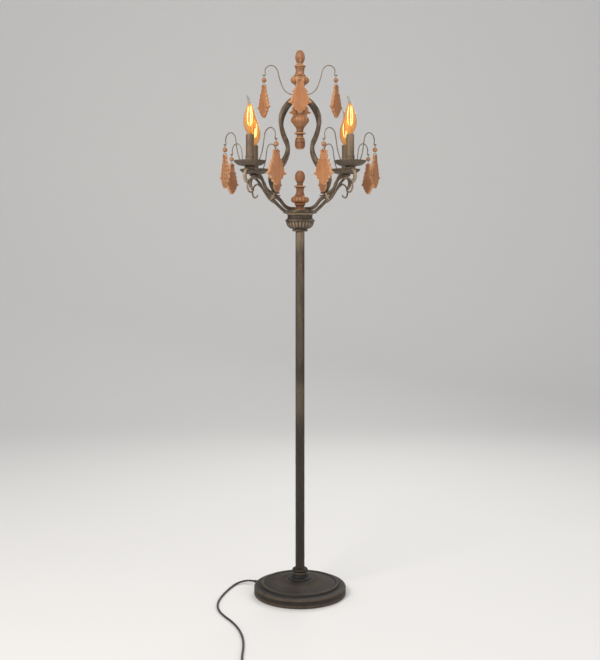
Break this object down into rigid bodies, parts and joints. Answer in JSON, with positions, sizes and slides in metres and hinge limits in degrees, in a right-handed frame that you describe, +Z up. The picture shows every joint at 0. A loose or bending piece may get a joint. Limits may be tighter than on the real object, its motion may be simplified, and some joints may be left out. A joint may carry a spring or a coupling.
{
  "type": "candlestick floor lamp",
  "caption": "Floor lamp with a slim pole, scrolled candle arms, a lyre cage round a turned column and carved wooden drops on wires.",
  "frame": {"origin": "on the floor at the centre of the round base, under the pole", "axes": "+Z up along the pole; -Y is the front, the side the picture is taken from; +X to the right of it"},
  "size_m": [0.4499, 0.8863, 1.5205],
  "materials": {
    "bronze_patina": "satin",
    "bronze_pole": "satin",
    "hidden_steel": "satin",
    "turned_wood": "satin",
    "sleeve_patina": "matte",
    "socket_black": "matte",
    "amber_glass": "clear",
    "felt": "matte",
    "cord_dark": "satin",
    "plug_brass": "satin",
    "counterweight": "rough"
  },
  "bodies": {
    "lamp": {"base_felt": "felt", "base_weight": "counterweight", "base_casting": "bronze_patina", "base_collar": "bronze_patina", "lower_pole": "bronze_pole", "upper_pole": "bronze_pole", "threaded_hardware": "hidden_steel", "bowl_cup": "bronze_patina", "bowl_rim": "bronze_patina", "lower_finial": "turned_wood", "lyre_hub": "bronze_patina", "lower_spindle": "turned_wood", "column_drop": "turned_wood", "upper_spindle": "turned_wood", "crown_finial": "turned_wood", "lyre_rods": "bronze_patina", "candle_cups": "bronze_patina", "drip_pans": "bronze_patina", "sleeve_holders": "bronze_patina", "candle_sleeves": "sleeve_patina", "lamp_sockets": "socket_black", "crown_wires": "bronze_patina", "pan_wires": "bronze_patina", "strain_relief": "cord_dark", "cord_lead": "cord_dark", "cord_coil": "cord_dark", "plug_body": "cord_dark", "plug_blades": "plug_brass", "candle_arm_1": "bronze_patina", "candle_arm_2": "bronze_patina", "candle_arm_3": "bronze_patina", "candle_arm_4": "bronze_patina"},
    "bulb_1": {"bulb_1": "amber_glass"},
    "bulb_2": {"bulb_2": "amber_glass"},
    "bulb_3": {"bulb_3": "amber_glass"},
    "bulb_4": {"bulb_4": "amber_glass"},
    "link_crown_right": {"link_crown_right": "turned_wood"},
    "drop_crown_right": {"drop_crown_right": "turned_wood"},
    "link_crown_back": {"link_crown_back": "turned_wood"},
    "drop_crown_back": {"drop_crown_back": "turned_wood"},
    "link_crown_left": {"link_crown_left": "turned_wood"},
    "drop_crown_left": {"drop_crown_left": "turned_wood"},
    "link_crown_front": {"link_crown_front": "turned_wood"},
    "drop_crown_front": {"drop_crown_front": "turned_wood"},
    "link_front_left_outer": {"link_front_left_outer": "turned_wood"},
    "drop_front_left_outer": {"drop_front_left_outer": "turned_wood"},
    "link_front_left_inner": {"link_front_left_inner": "turned_wood"},
    "drop_front_left_inner": {"drop_front_left_inner": "turned_wood"},
    "link_front_right_outer": {"link_front_right_outer": "turned_wood"},
    "drop_front_right_outer": {"drop_front_right_outer": "turned_wood"},
    "link_front_right_inner": {"link_front_right_inner": "turned_wood"},
    "drop_front_right_inner": {"drop_front_right_inner": "turned_wood"},
    "link_back_left_outer": {"link_back_left_outer": "turned_wood"},
    "drop_back_left_outer": {"drop_back_left_outer": "turned_wood"},
    "link_back_left_inner": {"link_back_left_inner": "turned_wood"},
    "drop_back_left_inner": {"drop_back_left_inner": "turned_wood"},
    "link_back_right_outer": {"link_back_right_outer": "turned_wood"},
    "drop_back_right_outer": {"drop_back_right_outer": "turned_wood"},
    "link_back_right_inner": {"link_back_right_inner": "turned_wood"},
    "drop_back_right_inner": {"drop_back_right_inner": "turned_wood"}
  },
  "joints": [
    {"name": "bulb_1_turn", "type": "hinge", "parent": "lamp", "child": "bulb_1", "pos_m": [0.13364, 0.13364, 1.24], "axis": [0, 0, 1], "range_deg": [0, 180]},
    {"name": "bulb_2_turn", "type": "hinge", "parent": "lamp", "child": "bulb_2", "pos_m": [-0.13364, 0.13364, 1.24], "axis": [0, 0, 1], "range_deg": [0, 180]},
    {"name": "bulb_3_turn", "type": "hinge", "parent": "lamp", "child": "bulb_3", "pos_m": [-0.13364, -0.13364, 1.24], "axis": [0, 0, 1], "range_deg": [0, 180]},
    {"name": "bulb_4_turn", "type": "hinge", "parent": "lamp", "child": "bulb_4", "pos_m": [0.13364, -0.13364, 1.24], "axis": [0, 0, 1], "range_deg": [0, 180]},
    {"name": "crown_right_link_swing", "type": "hinge", "parent": "lamp", "child": "link_crown_right", "pos_m": [0.10073, 0, 1.44941], "axis": [1, 0, 0], "range_deg": [-25, 25]},
    {"name": "crown_right_drop_swing", "type": "hinge", "parent": "link_crown_right", "child": "drop_crown_right", "pos_m": [0.10073, 0, 1.41616], "axis": [0.9135, -0.4067, 0], "range_deg": [-30, 30]},
    {"name": "crown_back_link_swing", "type": "hinge", "parent": "lamp", "child": "link_crown_back", "pos_m": [0, 0.10073, 1.44941], "axis": [0, 1, 0], "range_deg": [-25, 25]},
    {"name": "crown_back_drop_swing", "type": "hinge", "parent": "link_crown_back", "child": "drop_crown_back", "pos_m": [0, 0.10073, 1.41616], "axis": [0, 1, 0], "range_deg": [-30, 30]},
    {"name": "crown_left_link_swing", "type": "hinge", "parent": "lamp", "child": "link_crown_left", "pos_m": [-0.10073, 0, 1.44941], "axis": [-1, 0, 0], "range_deg": [-25, 25]},
    {"name": "crown_left_drop_swing", "type": "hinge", "parent": "link_crown_left", "child": "drop_crown_left", "pos_m": [-0.10073, 0, 1.41616], "axis": [-0.9135, -0.4067, 0], "range_deg": [-30, 30]},
    {"name": "crown_front_link_swing", "type": "hinge", "parent": "lamp", "child": "link_crown_front", "pos_m": [0, -0.10073, 1.44941], "axis": [0, -1, 0], "range_deg": [-25, 25]},
    {"name": "crown_front_drop_swing", "type": "hinge", "parent": "link_crown_front", "child": "drop_crown_front", "pos_m": [0, -0.10073, 1.41616], "axis": [0, -1, 0], "range_deg": [-30, 30]},
    {"name": "front_left_outer_link_swing", "type": "hinge", "parent": "lamp", "child": "link_front_left_outer", "pos_m": [-0.20539, -0.06189, 1.24801], "axis": [-0.7071, 0.7071, 0], "range_deg": [-25, 25]},
    {"name": "front_left_outer_drop_swing", "type": "hinge", "parent": "link_front_left_outer", "child": "drop_front_left_outer", "pos_m": [-0.20539, -0.06189, 1.21476], "axis": [-0.9511, -0.309, 0], "range_deg": [-30, 30]},
    {"name": "front_left_inner_link_swing", "type": "hinge", "parent": "lamp", "child": "link_front_left_inner", "pos_m": [-0.06189, -0.20539, 1.24801], "axis": [0.7071, -0.7071, 0], "range_deg": [-25, 25]},
    {"name": "front_left_inner_drop_swing", "type": "hinge", "parent": "link_front_left_inner", "child": "drop_front_left_inner", "pos_m": [-0.06189, -0.20539, 1.21476], "axis": [0.7071, -0.7071, 0], "range_deg": [-30, 30]},
    {"name": "front_right_outer_link_swing", "type": "hinge", "parent": "lamp", "child": "link_front_right_outer", "pos_m": [0.20539, -0.06189, 1.24801], "axis": [0.7071, 0.7071, 0], "range_deg": [-25, 25]},
    {"name": "front_right_outer_drop_swing", "type": "hinge", "parent": "link_front_right_outer", "child": "drop_front_right_outer", "pos_m": [0.20539, -0.06189, 1.21476], "axis": [0.9511, -0.309, 0], "range_deg": [-30, 30]},
    {"name": "front_right_inner_link_swing", "type": "hinge", "parent": "lamp", "child": "link_front_right_inner", "pos_m": [0.06189, -0.20539, 1.24801], "axis": [-0.7071, -0.7071, 0], "range_deg": [-25, 25]},
    {"name": "front_right_inner_drop_swing", "type": "hinge", "parent": "link_front_right_inner", "child": "drop_front_right_inner", "pos_m": [0.06189, -0.20539, 1.21476], "axis": [-0.7071, -0.7071, 0], "range_deg": [-30, 30]},
    {"name": "back_left_outer_link_swing", "type": "hinge", "parent": "lamp", "child": "link_back_left_outer", "pos_m": [-0.20539, 0.20539, 1.24801], "axis": [-0.7071, 0.7071, 0], "range_deg": [-25, 25]},
    {"name": "back_left_outer_drop_swing", "type": "hinge", "parent": "link_back_left_outer", "child": "drop_back_left_outer", "pos_m": [-0.20539, 0.20539, 1.21476], "axis": [0.848, -0.5299, 0], "range_deg": [-30, 30]},
    {"name": "back_left_inner_link_swing", "type": "hinge", "parent": "lamp", "child": "link_back_left_inner", "pos_m": [-0.07117, 0.2136, 1.24801], "axis": [0.6157, 0.788, 0], "range_deg": [-25, 25]},
    {"name": "back_left_inner_drop_swing", "type": "hinge", "parent": "link_back_left_inner", "child": "drop_back_left_inner", "pos_m": [-0.07117, 0.2136, 1.21476], "axis": [0.9063, -0.4226, 0], "range_deg": [-30, 30]},
    {"name": "back_right_outer_link_swing", "type": "hinge", "parent": "lamp", "child": "link_back_right_outer", "pos_m": [0.20539, 0.20539, 1.24801], "axis": [0.7071, 0.7071, 0], "range_deg": [-25, 25]},
    {"name": "back_right_outer_drop_swing", "type": "hinge", "parent": "link_back_right_outer", "child": "drop_back_right_outer", "pos_m": [0.20539, 0.20539, 1.21476], "axis": [-0.848, -0.5299, 0], "range_deg": [-30, 30]},
    {"name": "back_right_inner_link_swing", "type": "hinge", "parent": "lamp", "child": "link_back_right_inner", "pos_m": [0.07117, 0.2136, 1.24801], "axis": [-0.6157, 0.788, 0], "range_deg": [-25, 25]},
    {"name": "back_right_inner_drop_swing", "type": "hinge", "parent": "link_back_right_inner", "child": "drop_back_right_inner", "pos_m": [0.07117, 0.2136, 1.21476], "axis": [-0.9063, -0.4226, 0], "range_deg": [-30, 30]}
  ]
}
